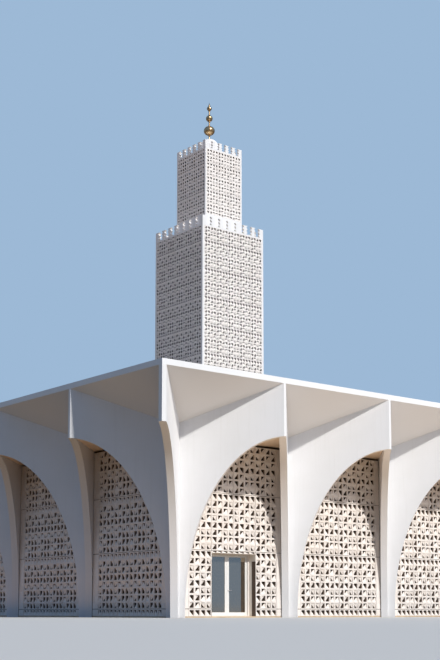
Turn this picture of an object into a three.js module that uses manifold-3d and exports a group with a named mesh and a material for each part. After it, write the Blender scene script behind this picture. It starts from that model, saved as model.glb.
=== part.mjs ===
// Mosque building: a flat-roofed hall ringed by a folded arcade, and a square two-stage minaret.
// Millimetres, +Z up, +X along the entrance front, +Y into the building.
// The origin is the centre of the hall at ground level.
import * as THREE from 'three';
import { mergeVertices } from 'three/addons/utils/BufferGeometryUtils.js';
import { ConvexGeometry } from 'three/addons/geometries/ConvexGeometry.js';
import Module from 'manifold-3d';

const wasm = await Module();
wasm.setup();

// Clearance between pieces that meet
const GAP = 0.3;

// Hall: bays along the front and the sides, and its heights above ground
const BAYS = 4;
const FRONT_BAY = 6240;
const SIDE_BAY = 6610;
const HALL_WIDTH = BAYS * FRONT_BAY;
const HALL_LENGTH = BAYS * SIDE_BAY;
const ROOF_TOP = 9800;
const FASCIA_DEPTH = 235;
const ROOF_UNDERSIDE = ROOF_TOP - FASCIA_DEPTH;
const ROOF_DECK_DROP = 80;
const VALLEY_SOFFIT = 7950;
const EAVE_REACH = 1.15;
const CEILING_UNDERSIDE = 7470;
const CEILING_DEPTH = 200;
const FLOOR_TOP = 55;

// Folded plates of the arcade: each runs from a pier in the valley to a tip on the roof edge
const PLATE = 300;
const PIER_ARM = 370;
const SPRINGING = 200;
const FRONT_CROWN = 7365;
const SIDE_CROWN = 7470;
const CORNER_CROWN = 7380;
const TIP_OVERSHOOT = 65;
const ARCH_STEPS = 24;

// Pierced block screens behind the arches: their front faces stand on the line of the valleys
const SCREEN_DEPTH = 180;
const BLOCK_WIDTH = 301;
const BLOCK_HEIGHT = 305;
const COLUMNS = 16;
const COURSES = 24;
const LOWEST_COURSES = 1;
const SCREEN_TOP = FLOOR_TOP + COURSES * BLOCK_HEIGHT;

// Blocks are laid in panels, which are shallow recesses here between the ribs at their joints
const PANEL_COLUMNS = 4;
const PANEL_COURSES = 8;
const PANEL_RIB = 45;
const PANEL_RECESS = 50;

// Entrance: an opening eight blocks wide, whose head cuts down the ninth course
const DOOR_BAY = 1;
const DOOR_COLUMNS = [4, 12];
const DOOR_COURSES = 9;
const LINTEL_COURSE = 95;
const DOOR_WIDTH = (DOOR_COLUMNS[1] - DOOR_COLUMNS[0]) * BLOCK_WIDTH;
const DOOR_TOP = FLOOR_TOP + DOOR_COURSES * BLOCK_HEIGHT - LINTEL_COURSE;
const PORTAL_DEPTH = 565;
const PORTAL_WIDTH = 200;
const FRAME_SETBACK = 435;
const FRAME_DEPTH = 120;
const JAMB = 75;
const HEAD = 50;
const SILL = 20;
const LEAF_DEPTH = 45;
const LEAF_SETBACK = 40;
const LEAF_SIDE_GAP = 10;
const LEAF_END_GAP = 8;
const STILE = 95;
const TOP_RAIL = 62;
const BOTTOM_RAIL = 120;
const PANE = 12;
const PIVOT_OFFSET = 10;
const PIVOT_RADIUS = 8;
const HANDLE_HEIGHT = 1150;
const HANDLE_ROSE = 26;
const HANDLE_ROSE_DEPTH = 10;
const HANDLE_NECK = 9;
const HANDLE_REACH = 55;
const LEVER_LENGTH = 190;

// Minaret: two hollow stages, each closed by a deck with toothed merlons along its edges
const MINARET_X = 12860;
const MINARET_Y = 15955.5;
const MINARET_WALL = 250;
const MINARET_DECK = 100;
const MINARET_BLOCK_WIDTH = 258;
const LOWER_STAGE = {
  side: 5470,
  top: 26560,
  crest: 27280,
  merlons: 8,
  merlonWidth: 400,
  tooth: 105,
  columns: 20,
  courses: 107,
  lowestCourses: 7,
  blockHeight: 246.35,
};
const UPPER_STAGE = {
  side: 3320,
  top: 32650,
  crest: 33280,
  merlons: 6,
  merlonWidth: 340,
  tooth: 90,
  columns: 12,
  courses: 24,
  lowestCourses: 4,
  blockHeight: 249.55,
};
const MERLON_DEPTH = 150;
const MERLON_TEETH = 3;

// Dome: a round drum on the cap with half a ball on it, cut flat under the finial's foot
const DOME_RADIUS = 720;
const DOME_SPRINGING = 33470;
const DOME_SEAT = 170;

// Finial: a rod that carries three balls, as centre height, radius and half height
const ROD_RADIUS = 45;
const FINIAL_FOOT = 160;
const FINIAL_FOOT_HEIGHT = 60;
const BALLS = [
  { height: 34840, radius: 400, half: 340 },
  { height: 35775, radius: 245, half: 235 },
  { height: 36530, radius: 175, half: 175 },
];
const FINIAL_TIP = 36980;

const COLOURS = {
  render: { color: 0xf2efe8, roughness: 0.85, metalness: 0 },
  soffit: { color: 0xe9dccb, roughness: 0.9, metalness: 0 },
  screen: { color: 0xe6e3dc, roughness: 0.85, metalness: 0 },
  floor: { color: 0xb9b1a4, roughness: 0.8, metalness: 0 },
  frame: { color: 0xf0eeea, roughness: 0.45, metalness: 0 },
  glass: { color: 0x1f2f4a, roughness: 0.05, metalness: 0 },
  steel: { color: 0xb8b9bb, roughness: 0.3, metalness: 1 },
  gilt: { color: 0xd8a531, roughness: 0.25, metalness: 1 },
};

const FINISHES = Object.fromEntries(
  Object.entries(COLOURS).map(([name, values]) => [
    name,
    new THREE.MeshStandardMaterial({ ...values, name, flatShading: true }),
  ]),
);

// A closed three.js geometry as a solid that can be joined and cut
function solidOf(geometry) {
  const bare = geometry.clone();
  bare.deleteAttribute('normal');
  bare.deleteAttribute('uv');
  const welded = mergeVertices(bare, 1e-3);
  return new wasm.Manifold(new wasm.Mesh({
    numProp: 3,
    vertProperties: new Float32Array(welded.attributes.position.array),
    triVerts: new Uint32Array(welded.index.array),
  }));
}

function geometryOf(solid) {
  const mesh = solid.getMesh();
  const geometry = new THREE.BufferGeometry();
  geometry.setAttribute('position', new THREE.BufferAttribute(mesh.vertProperties, mesh.numProp));
  geometry.setIndex(new THREE.BufferAttribute(mesh.triVerts, 1));
  geometry.computeVertexNormals();
  return geometry;
}

function join(solids) {
  return solids.reduce((whole, piece) => whole.add(piece));
}

function meshOf(name, solid, finish) {
  const mesh = new THREE.Mesh(geometryOf(solid), FINISHES[finish]);
  mesh.name = name;
  return mesh;
}

// An upright prism over a plan outline of [x, y] corners
function prism(outline, low, high) {
  const shape = new THREE.Shape(outline.map(([x, y]) => new THREE.Vector2(x, y)));
  const geometry = new THREE.ExtrudeGeometry(shape, { depth: high - low, bevelEnabled: false });
  return solidOf(geometry.translate(0, 0, low));
}

function block([x0, y0, z0], [x1, y1, z1]) {
  const geometry = new THREE.BoxGeometry(x1 - x0, y1 - y0, z1 - z0);
  return solidOf(geometry.translate((x0 + x1) / 2, (y0 + y1) / 2, (z0 + z1) / 2));
}

// An upright square tube between two heights, centred on the Z axis
function squareTube(side, wall, low, high) {
  const outer = side / 2;
  const inner = outer - wall;
  const body = block([-outer, -outer, low], [outer, outer, high]);
  return body.subtract(block([-inner, -inner, low - 1], [inner, inner, high + 1]));
}

// Where two plan lines cross, each given as a point and a direction
function crossing(p, d, q, e) {
  const t = ((q[0] - p[0]) * e[1] - (q[1] - p[1]) * e[0]) / (d[0] * e[1] - d[1] * e[0]);
  return [p[0] + d[0] * t, p[1] + d[1] * t];
}

// One side of the hall, in a plan frame that runs along the roof edge (u) and inwards (v)
class Side {
  constructor(name, turns, bay, inset, crown, neighbourCrown) {
    this.name = name;
    this.turns = turns;
    this.bay = bay;
    this.inset = inset;
    this.crown = crown;
    this.neighbourCrown = neighbourCrown;
    this.half = bay / 2;
    this.length = BAYS * bay;
    // Plates run from a valley to a virtual tip just outside the roof edge, which cuts it blunt
    this.slope = (inset + TIP_OVERSHOOT) / this.half;
    this.blunt = TIP_OVERSHOOT / this.slope;
    this.stretch = Math.hypot(1, this.slope);
    this.innerValley = inset + PLATE * this.stretch;
    this.innerTip = -TIP_OVERSHOOT + PLATE * this.stretch;
  }

  group() {
    const corners = [[-1, -1], [1, -1], [1, 1], [-1, 1]];
    const [sx, sy] = corners[this.turns];
    const group = new THREE.Group();
    group.name = `side_${this.name}`;
    group.position.set(sx * HALL_WIDTH / 2, sy * HALL_LENGTH / 2, 0);
    group.rotation.z = this.turns * Math.PI / 2;
    return group;
  }
}

const SIDES = [
  new Side('front', 0, FRONT_BAY, SIDE_BAY / 2, FRONT_CROWN, SIDE_CROWN),
  new Side('right', 1, SIDE_BAY, FRONT_BAY / 2, SIDE_CROWN, FRONT_CROWN),
  new Side('back', 2, FRONT_BAY, SIDE_BAY / 2, FRONT_CROWN, SIDE_CROWN),
  new Side('left', 3, SIDE_BAY, FRONT_BAY / 2, SIDE_CROWN, FRONT_CROWN),
];

// The open space under one plate: a quarter ellipse that springs upright from the pier and is level
// at the tip, swept across the plate. valley and tip are plan points, across is its reach each way.
function archVoid(valley, tip, crown, across) {
  const run = new THREE.Vector2(tip[0] - valley[0], tip[1] - valley[1]);
  const length = run.length();
  const rise = crown - SPRINGING;
  const profile = new THREE.Shape();
  profile.moveTo(PIER_ARM, -1);
  for (let step = 0; step <= ARCH_STEPS; step += 1) {
    const angle = (step / ARCH_STEPS) * Math.PI / 2;
    profile.lineTo(length - (length - PIER_ARM) * Math.cos(angle), SPRINGING + rise * Math.sin(angle));
  }
  profile.lineTo(length + PLATE, crown);
  profile.lineTo(length + PLATE, -1);
  const along = new THREE.Vector3(run.x / length, run.y / length, 0);
  const up = new THREE.Vector3(0, 0, 1);
  const normal = new THREE.Vector3().crossVectors(along, up);
  const placed = new THREE.Matrix4().makeBasis(along, up, normal);
  placed.setPosition(valley[0], valley[1], 0);
  const geometry = new THREE.ExtrudeGeometry(profile, { depth: 2 * across, bevelEnabled: false });
  return solidOf(geometry.translate(0, 0, -across).applyMatrix4(placed));
}

// A pier in a valley between two tips: a V of two plates that meet at the pier
function innerPier(side) {
  const reach = side.half - GAP / 2;
  const tipDepth = side.innerTip + side.slope * GAP / 2;
  const outline = [
    [-reach, 0],
    [-side.half + side.blunt, 0],
    [0, side.inset],
    [side.half - side.blunt, 0],
    [reach, 0],
    [reach, tipDepth],
    [0, side.innerValley],
    [-reach, tipDepth],
  ];
  const valley = [0, side.inset];
  const across = PLATE + 60;
  return prism(outline, 0, ROOF_UNDERSIDE - GAP)
    .subtract(archVoid(valley, [side.half, -TIP_OVERSHOOT], side.crown, across))
    .subtract(archVoid(valley, [-side.half, -TIP_OVERSHOOT], side.crown, across));
}

// Faces of the diagonal fin that stands on the corner, as plan lines of the side's frame
function finFace(side, hand, clearance) {
  const length = Math.hypot(side.half, side.inset);
  const along = [side.half / length, side.inset / length];
  const shift = hand * (PLATE / 2 + clearance);
  return { point: [along[1] * shift, -along[0] * shift], along };
}

// A corner pier: a wall between the first tips of two sides, and a fin out to the corner
function cornerPier(side) {
  const other = { bay: 2 * side.inset, inset: side.half };
  const valley = [side.half, side.inset];
  const tip = [side.bay, -TIP_OVERSHOOT];
  const otherTip = [-TIP_OVERSHOOT, other.bay];
  const otherSlope = (other.inset + TIP_OVERSHOOT) / (other.bay / 2);
  const otherStretch = Math.hypot(1, otherSlope);
  const otherInnerTip = -TIP_OVERSHOOT + PLATE * otherStretch;
  const reach = side.bay - GAP / 2;
  const otherReach = other.bay - GAP / 2;
  const right = finFace(side, 1, 0);
  const left = finFace(side, -1, 0);
  const toTip = [tip[0] - valley[0], tip[1] - valley[1]];
  const toOther = [otherTip[0] - valley[0], otherTip[1] - valley[1]];
  const innerRight = [side.bay, side.innerTip];
  const innerLeft = [otherInnerTip, other.bay];
  const outline = [
    [0, 0],
    crossing(right.point, right.along, [0, 0], [1, 0]),
    crossing(right.point, right.along, valley, toTip),
    [side.bay - side.blunt, 0],
    [reach, 0],
    [reach, side.innerTip + side.slope * GAP / 2],
    crossing(innerRight, toTip, innerLeft, toOther),
    [otherInnerTip + otherSlope * GAP / 2, otherReach],
    [0, otherReach],
    [0, other.bay - TIP_OVERSHOOT / otherSlope],
    crossing(left.point, left.along, valley, toOther),
    crossing(left.point, left.along, [0, 0], [0, 1]),
  ];
  const across = PLATE + 60;
  return prism(outline, 0, ROOF_UNDERSIDE - GAP)
    .subtract(archVoid(valley, tip, side.crown, across))
    .subtract(archVoid(valley, otherTip, side.neighbourCrown, across))
    .subtract(archVoid(valley, [0, 0], CORNER_CROWN, across));
}

// One folded soffit: it falls from the roof edge, between two tips, to the valley
function soffit(side, bayIndex) {
  const valley = [side.half, side.inset];
  const plate = (hand) => ({
    point: [side.half, side.inset - GAP * side.stretch],
    along: [hand * side.half, -(side.inset + TIP_OVERSHOOT)],
  });
  const fin = finFace(side, 1, GAP);
  const mirrored = { point: [side.bay - fin.point[0], fin.point[1]], along: [-fin.along[0], fin.along[1]] };
  const left = bayIndex === 0 ? fin : plate(-1);
  const right = bayIndex === BAYS - 1 ? mirrored : plate(1);
  const edge = [1, 0];
  const a = crossing(left.point, left.along, [0, 0], edge);
  const b = crossing(right.point, right.along, [0, 0], edge);
  const c = crossing(left.point, left.along, right.point, right.along);
  const fall = (ROOF_UNDERSIDE - VALLEY_SOFFIT) * c[1] / valley[1];
  const bedded = ROOF_UNDERSIDE + FASCIA_DEPTH / 2;
  const corners = [
    [...a, ROOF_UNDERSIDE], [...b, ROOF_UNDERSIDE], [...c, ROOF_UNDERSIDE - fall],
    [...a, bedded], [...b, bedded], [...c, bedded],
  ];
  const geometry = new ConvexGeometry(corners.map((corner) => new THREE.Vector3(...corner)));
  return solidOf(geometry.translate(bayIndex * side.bay, 0, 0));
}

// The roof edge of one side, mitred at both corners, with its folded soffits
function eaves(side) {
  const depth = side.inset * EAVE_REACH;
  const mitre = side.half * EAVE_REACH;
  const strip = prism([
    [GAP, 0],
    [side.length - GAP, 0],
    [side.length - mitre - GAP, depth],
    [mitre + GAP, depth],
  ], ROOF_UNDERSIDE, ROOF_TOP);
  const folds = Array.from({ length: BAYS }, (_, index) => soffit(side, index));
  return join([strip, ...folds]);
}

// A screen fills the space between two piers, and its ends follow the plates' inner faces
function screenOutline(side, niche) {
  const face = side.innerValley + GAP * side.stretch;
  const front = side.inset;
  const back = side.inset + SCREEN_DEPTH;
  const clear = (v) => (face - v) / side.slope;
  const from = (niche - 0.5) * side.bay;
  const to = (niche + 0.5) * side.bay;
  return [
    [from + clear(front), front],
    [to - clear(front), front],
    [to - clear(back), back],
    [from + clear(back), back],
  ];
}

// The edges of the panels along one direction, counted in blocks
function panelEdges(first, count, panel) {
  const edges = [0];
  for (let edge = first; edge < count; edge += panel) {
    edges.push(edge);
  }
  return [...edges, count];
}

// The recesses of a field of block panels whose lower left corner is at [u, z] on a face at depth v
function panelRecesses(field, u, v, z) {
  const columns = panelEdges(PANEL_COLUMNS, field.columns, PANEL_COLUMNS);
  const courses = panelEdges(field.lowestCourses, field.courses, PANEL_COURSES);
  const recesses = [];
  columns.slice(1).forEach((right, column) => {
    courses.slice(1).forEach((top, course) => {
      const low = [columns[column] * field.blockWidth, courses[course] * field.blockHeight];
      const high = [right * field.blockWidth, top * field.blockHeight];
      const isDoor = field.hasDoor && top <= DOOR_COURSES
        && columns[column] >= DOOR_COLUMNS[0] && right <= DOOR_COLUMNS[1];
      if (!isDoor) {
        recesses.push(block([u + low[0] + PANEL_RIB, v - 1, z + low[1] + PANEL_RIB],
          [u + high[0] - PANEL_RIB, v + PANEL_RECESS, z + high[1] - PANEL_RIB]));
      }
    });
  });
  return join(recesses);
}

function screen(side, niche) {
  const field = {
    columns: COLUMNS,
    courses: COURSES,
    lowestCourses: LOWEST_COURSES,
    blockWidth: BLOCK_WIDTH,
    blockHeight: BLOCK_HEIGHT,
    hasDoor: side.name === 'front' && niche === DOOR_BAY,
  };
  const left = niche * side.bay - COLUMNS * BLOCK_WIDTH / 2;
  return prism(screenOutline(side, niche), FLOOR_TOP + GAP, SCREEN_TOP)
    .subtract(panelRecesses(field, left, side.inset, FLOOR_TOP));
}

// The entrance bay's screen, as the stretches beside the doorway and the one over it, each with its
// share of the deep portal that the door frame is set in
function entranceScreens(side) {
  const centre = DOOR_BAY * side.bay;
  const edge = DOOR_WIDTH / 2;
  const reach = edge + PORTAL_WIDTH;
  const portal = block([centre - reach, side.inset + SCREEN_DEPTH / 2, FLOOR_TOP + GAP],
    [centre + reach, side.inset + PORTAL_DEPTH, DOOR_TOP + PORTAL_WIDTH]);
  const whole = screen(side, DOOR_BAY).add(portal);
  const far = 2 * side.bay;
  const deep = 2 * side.inset;
  const cutLeft = block([-far, 0, 0], [centre - edge, deep, ROOF_TOP]);
  const cutRight = block([centre + edge, 0, 0], [far, deep, ROOF_TOP]);
  const over = block([centre - edge + GAP, 0, DOOR_TOP], [centre + edge - GAP, deep, ROOF_TOP]);
  return {
    screen_front_1_left: whole.intersect(cutLeft),
    screen_front_1_right: whole.intersect(cutRight),
    screen_front_1_over: whole.intersect(over),
  };
}

// The door frame: jambs, head and sill in one ring, with the pins that the leaves turn on
function doorFrame(sizes) {
  const { left, right, front, low, high } = sizes;
  const ring = block([left, front, low], [right, front + FRAME_DEPTH, high])
    .subtract(block([left + JAMB, front - 1, low + SILL],
      [right - JAMB, front + FRAME_DEPTH + 1, high - HEAD]));
  const pins = [sizes.leftAxis, sizes.rightAxis].flatMap((u) => [
    [u, low + SILL - 2, sizes.leafLow - GAP],
    [u, sizes.leafHigh + GAP, high - HEAD + 2],
  ]).map(([u, from, to]) => {
    const pin = new THREE.CylinderGeometry(PIVOT_RADIUS, PIVOT_RADIUS, to - from, 12);
    pin.rotateX(Math.PI / 2);
    return solidOf(pin.translate(u, sizes.axisDepth, (from + to) / 2));
  });
  return join([ring, ...pins]);
}

// A glazed leaf: stiles and rails around a rebate that holds the pane
function doorLeaf(from, to, sizes) {
  const { leafFront, leafBack, leafLow, leafHigh } = sizes;
  return block([from, leafFront, leafLow], [to, leafBack, leafHigh])
    .subtract(block([from + STILE, leafFront - 1, leafLow + BOTTOM_RAIL],
      [to - STILE, leafBack + 1, leafHigh - TOP_RAIL]));
}

function doorPane(from, to, sizes) {
  const middle = (sizes.leafFront + sizes.leafBack) / 2;
  return block([from + STILE + GAP, middle - PANE / 2, sizes.leafLow + BOTTOM_RAIL + GAP],
    [to - STILE - GAP, middle + PANE / 2, sizes.leafHigh - TOP_RAIL - GAP]);
}

// A lever handle on one face of a leaf: a round rose, a neck and a lever towards the hinge
function leverHandle(u, face, outward) {
  const barrel = (radius, near, far) => {
    const length = far - near;
    const geometry = new THREE.CylinderGeometry(radius, radius, length, 16);
    return solidOf(geometry.translate(u, face + outward * (near + far) / 2, HANDLE_HEIGHT));
  };
  const rose = barrel(HANDLE_ROSE, GAP, HANDLE_ROSE_DEPTH);
  const neck = barrel(HANDLE_NECK, HANDLE_ROSE_DEPTH / 2, HANDLE_REACH);
  const lever = new THREE.BoxGeometry(LEVER_LENGTH, 2 * HANDLE_NECK, 2 * HANDLE_NECK);
  lever.translate(u + LEVER_LENGTH / 2 - HANDLE_NECK, face + outward * HANDLE_REACH, HANDLE_HEIGHT);
  return join([rose, neck, solidOf(lever)]);
}

function entrance(side) {
  const centre = DOOR_BAY * side.bay;
  const front = side.inset + FRAME_SETBACK;
  const sizes = {
    left: centre - DOOR_WIDTH / 2 + GAP,
    right: centre + DOOR_WIDTH / 2 - GAP,
    front,
    low: FLOOR_TOP + GAP,
    high: DOOR_TOP - GAP,
    leafFront: front + LEAF_SETBACK,
    leafBack: front + LEAF_SETBACK + LEAF_DEPTH,
  };
  sizes.leafLow = sizes.low + SILL + LEAF_END_GAP;
  sizes.leafHigh = sizes.high - HEAD - LEAF_END_GAP;
  const leafLeft = sizes.left + JAMB + LEAF_SIDE_GAP;
  const leafRight = sizes.right - JAMB - LEAF_SIDE_GAP;
  const meetLeft = centre - LEAF_END_GAP / 2;
  const meetRight = centre + LEAF_END_GAP / 2;
  sizes.leftAxis = leafLeft + PIVOT_OFFSET;
  sizes.rightAxis = leafRight - PIVOT_OFFSET;
  sizes.axisDepth = sizes.leafBack - PIVOT_OFFSET;
  const handleAt = meetRight + STILE / 2;
  return [
    meshOf('door_frame', doorFrame(sizes), 'frame'),
    meshOf('door_leaf_left', doorLeaf(leafLeft, meetLeft, sizes), 'frame'),
    meshOf('door_leaf_right', doorLeaf(meetRight, leafRight, sizes), 'frame'),
    meshOf('door_pane_left', doorPane(leafLeft, meetLeft, sizes), 'glass'),
    meshOf('door_pane_right', doorPane(meetRight, leafRight, sizes), 'glass'),
    meshOf('door_handle_outer', leverHandle(handleAt, sizes.leafFront, -1), 'steel'),
    meshOf('door_handle_inner', leverHandle(handleAt, sizes.leafBack, 1), 'steel'),
  ];
}

function sideGroup(side) {
  const group = side.group();
  const corner = { front: 'front_left', right: 'front_right', back: 'back_right', left: 'back_left' };
  group.add(meshOf(`corner_pier_${corner[side.name]}`, cornerPier(side), 'render'));
  for (let index = 1; index < BAYS - 1; index += 1) {
    const pier = meshOf(`pier_${side.name}_${index}`, innerPier(side), 'render');
    pier.position.x = (index + 0.5) * side.bay;
    group.add(pier);
  }
  group.add(meshOf(`eaves_${side.name}`, eaves(side), 'soffit'));
  for (let niche = 1; niche < BAYS; niche += 1) {
    if (side.name === 'front' && niche === DOOR_BAY) {
      Object.entries(entranceScreens(side)).forEach(([name, solid]) => {
        group.add(meshOf(name, solid, 'screen'));
      });
    } else {
      group.add(meshOf(`screen_${side.name}_${niche}`, screen(side, niche), 'screen'));
    }
  }
  if (side.name === 'front') {
    group.add(...entrance(side));
  }
  return group;
}

// The hall's plan inside the plates, as one loop: tips and valleys of every side in turn
function innerLoop(clearance) {
  const corners = SIDES.flatMap((side) => {
    const points = [[side.half, side.inset]];
    for (let tip = 1; tip < BAYS; tip += 1) {
      points.push([tip * side.bay, -TIP_OVERSHOOT]);
      if (tip < BAYS - 1) {
        points.push([(tip + 0.5) * side.bay, side.inset]);
      }
    }
    const group = side.group();
    group.updateMatrixWorld();
    return points.map(([u, v]) => new THREE.Vector3(u, v, 0).applyMatrix4(group.matrixWorld));
  });
  const offset = PLATE + clearance;
  const count = corners.length;
  return corners.map((corner, index) => {
    const before = corner.clone().sub(corners[(index + count - 1) % count]).normalize();
    const after = corners[(index + 1) % count].clone().sub(corner).normalize();
    const normals = new THREE.Vector3(-before.y - after.y, before.x + after.x, 0);
    const share = offset / (1 + before.dot(after));
    return [corner.x + normals.x * share, corner.y + normals.y * share];
  });
}

function ceiling() {
  return prism(innerLoop(GAP), CEILING_UNDERSIDE, CEILING_UNDERSIDE + CEILING_DEPTH);
}

// The floor slab reaches the front faces of the screens and is notched around the piers
function floor() {
  const x = (HALL_WIDTH - FRONT_BAY) / 2;
  const y = (HALL_LENGTH - SIDE_BAY) / 2;
  return prism(innerLoop(GAP), 0, FLOOR_TOP).intersect(block([-x, -y, -1], [x, y, FLOOR_TOP + 1]));
}

function roofDeck() {
  const x = HALL_WIDTH / 2 - EAVE_REACH * FRONT_BAY / 2 - GAP;
  const y = HALL_LENGTH / 2 - EAVE_REACH * SIDE_BAY / 2 - GAP;
  return block([-x, -y, ROOF_UNDERSIDE], [x, y, ROOF_TOP - ROOF_DECK_DROP]);
}

// A merlon in elevation: teeth run up both edges, but an edge on the corner of the tower is plain
function merlonShape(stage, height, plainLeft, plainRight) {
  const half = stage.merlonWidth / 2;
  const levels = 2 * MERLON_TEETH;
  const edge = Array.from({ length: levels }, (_, level) => [
    level % 2 === 0 ? half - stage.tooth : half,
    (level * height) / (levels - 1),
  ]);
  const plain = [[half, 0], [half, height]];
  const right = plainRight ? plain : edge;
  const left = (plainLeft ? plain : edge).map(([u, z]) => [-u, z]).reverse();
  const bedded = [[right[0][0], -MINARET_DECK / 2], [left.at(-1)[0], -MINARET_DECK / 2]];
  const outline = [bedded[0], ...right, ...left, bedded[1]];
  return new THREE.Shape(outline.map(([u, z]) => new THREE.Vector2(u, z)));
}

// The deck that closes a stage, with a row of merlons along each of its four edges
function crownedDeck(stage) {
  const half = stage.side / 2;
  const deckTop = stage.top + MINARET_DECK;
  const last = stage.merlons - 1;
  const pitch = (stage.side - stage.merlonWidth) / last;
  const pieces = [block([-half, -half, stage.top], [half, half, deckTop])];
  for (let turn = 0; turn < 4; turn += 1) {
    for (let index = 0; index <= last; index += 1) {
      const shape = merlonShape(stage, stage.crest - deckTop, index === 0, index === last);
      const geometry = new THREE.ExtrudeGeometry(shape, { depth: MERLON_DEPTH, bevelEnabled: false });
      geometry.rotateX(Math.PI / 2);
      geometry.translate(-half + stage.merlonWidth / 2 + index * pitch, -half + MERLON_DEPTH, deckTop);
      geometry.rotateZ(turn * Math.PI / 2);
      pieces.push(solidOf(geometry));
    }
  }
  return join(pieces);
}

// The drum and its half ball, turned around the minaret's axis and bedded in the cap's deck
function dome(deckTop) {
  const rings = 10;
  const end = Math.acos(DOME_SEAT / DOME_RADIUS);
  const outline = [[0, deckTop - MINARET_DECK / 2], [DOME_RADIUS, deckTop - MINARET_DECK / 2]];
  for (let ring = 0; ring <= rings; ring += 1) {
    const angle = (ring / rings) * end;
    outline.push([DOME_RADIUS * Math.cos(angle), DOME_SPRINGING + DOME_RADIUS * Math.sin(angle)]);
  }
  outline.push([0, outline.at(-1)[1]]);
  const geometry = new THREE.LatheGeometry(outline.map(([r, z]) => new THREE.Vector2(r, z)), 32);
  return solidOf(geometry.rotateX(Math.PI / 2));
}

// The gilt finial, turned around the minaret's axis
function finial(base) {
  const outline = [
    [0, base],
    [FINIAL_FOOT, base],
    [FINIAL_FOOT * 0.8, base + FINIAL_FOOT_HEIGHT / 2],
    [ROD_RADIUS, base + FINIAL_FOOT_HEIGHT],
  ];
  const rings = 12;
  BALLS.forEach(({ height, radius, half }) => {
    const start = Math.asin(ROD_RADIUS / radius);
    for (let ring = 0; ring <= rings; ring += 1) {
      const angle = start + (ring / rings) * (Math.PI - 2 * start);
      outline.push([radius * Math.sin(angle), height - half * Math.cos(angle)]);
    }
  });
  outline.push([0, FINIAL_TIP]);
  const geometry = new THREE.LatheGeometry(outline.map(([r, z]) => new THREE.Vector2(r, z)), 24);
  return solidOf(geometry.rotateX(Math.PI / 2));
}

// A stage of the minaret: a square tube with block panels on its four faces, counted from the top down
function stageWalls(stage, low) {
  const high = stage.top - GAP;
  const half = stage.side / 2;
  const field = { ...stage, blockWidth: MINARET_BLOCK_WIDTH };
  const left = -stage.columns * MINARET_BLOCK_WIDTH / 2;
  const recesses = panelRecesses(field, left, -half, high - stage.courses * stage.blockHeight);
  const faces = [0, 90, 180, 270].map((turn) => recesses.rotate([0, 0, turn]));
  return squareTube(stage.side, MINARET_WALL, low, high).subtract(join(faces));
}

function minaret() {
  const group = new THREE.Group();
  group.name = 'minaret';
  group.position.set(MINARET_X, MINARET_Y, 0);
  const galleryFloor = LOWER_STAGE.top + MINARET_DECK;
  const capTop = UPPER_STAGE.top + MINARET_DECK;
  const seat = DOME_SPRINGING + Math.sqrt(DOME_RADIUS ** 2 - DOME_SEAT ** 2);
  group.add(
    meshOf('minaret_lower_stage', stageWalls(LOWER_STAGE, 0), 'screen'),
    meshOf('minaret_gallery', crownedDeck(LOWER_STAGE), 'render'),
    meshOf('minaret_upper_stage', stageWalls(UPPER_STAGE, galleryFloor + GAP), 'screen'),
    meshOf('minaret_cap', join([crownedDeck(UPPER_STAGE), dome(capTop)]), 'render'),
    meshOf('minaret_finial', finial(seat + GAP), 'gilt'),
  );
  return group;
}

const mosque = new THREE.Group();
mosque.name = 'mosque';
mosque.add(
  meshOf('floor_slab', floor(), 'floor'),
  meshOf('ceiling_slab', ceiling(), 'soffit'),
  meshOf('roof_deck', roofDeck(), 'floor'),
  ...SIDES.map(sideGroup),
  minaret(),
);

export default mosque;
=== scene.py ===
"""Dresses the mosque building: arched piers, pierced block screens, entrance, minaret lattice and finial."""

import logging
import math
from dataclasses import dataclass
from enum import Enum
from typing import Any, Callable, Iterable, Sequence

import bmesh
import bpy
import numpy as np
from numpy.typing import NDArray
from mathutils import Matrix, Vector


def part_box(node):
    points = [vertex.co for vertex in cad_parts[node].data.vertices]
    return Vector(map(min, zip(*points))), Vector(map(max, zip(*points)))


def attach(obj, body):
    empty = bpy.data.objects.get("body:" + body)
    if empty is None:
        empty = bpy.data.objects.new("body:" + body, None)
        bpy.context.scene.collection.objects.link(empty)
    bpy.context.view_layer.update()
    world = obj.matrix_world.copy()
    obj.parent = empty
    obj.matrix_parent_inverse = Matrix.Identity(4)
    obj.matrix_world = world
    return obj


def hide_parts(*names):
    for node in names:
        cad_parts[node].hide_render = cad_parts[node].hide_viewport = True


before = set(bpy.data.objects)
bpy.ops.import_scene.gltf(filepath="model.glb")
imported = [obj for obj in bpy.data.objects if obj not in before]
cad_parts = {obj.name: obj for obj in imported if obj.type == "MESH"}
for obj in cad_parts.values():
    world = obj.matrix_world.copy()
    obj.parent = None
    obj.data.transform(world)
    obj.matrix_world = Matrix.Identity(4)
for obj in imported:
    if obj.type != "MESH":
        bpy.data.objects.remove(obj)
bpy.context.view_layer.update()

log = logging.getLogger("mosque")

Points = NDArray[np.float64]
Faces = NDArray[np.int64]
Plan = NDArray[np.float64]
Socket = bpy.types.NodeSocket

# Sizes that the dressed pieces share with the solids, in metres
GAP = 0.0003
BAYS = 4
FRONT_BAY = 6.24
SIDE_BAY = 6.61
HALL_WIDTH = BAYS * FRONT_BAY
HALL_LENGTH = BAYS * SIDE_BAY
ROOF_UNDERSIDE = 9.565
FLOOR_TOP = 0.055
PLATE = 0.3
PIER_ARM = 0.37
SPRINGING = 0.2
TIP_OVERSHOOT = 0.065
FRONT_CROWN = 7.365
SIDE_CROWN = 7.47
CORNER_CROWN = 7.38
MINARET_X = 12.86
MINARET_Y = 15.9555

# Corners closer together than a micrometre are joined
WELDS_PER_M = 1e6
# Steps of each quarter arch, fine enough to look smooth from close by
ARCH_STEPS = 72
# The attribute that holds how deep in a block's hole a corner lies, which sets the painted shade there
HOLE_DEPTH = "hole_depth"
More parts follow.
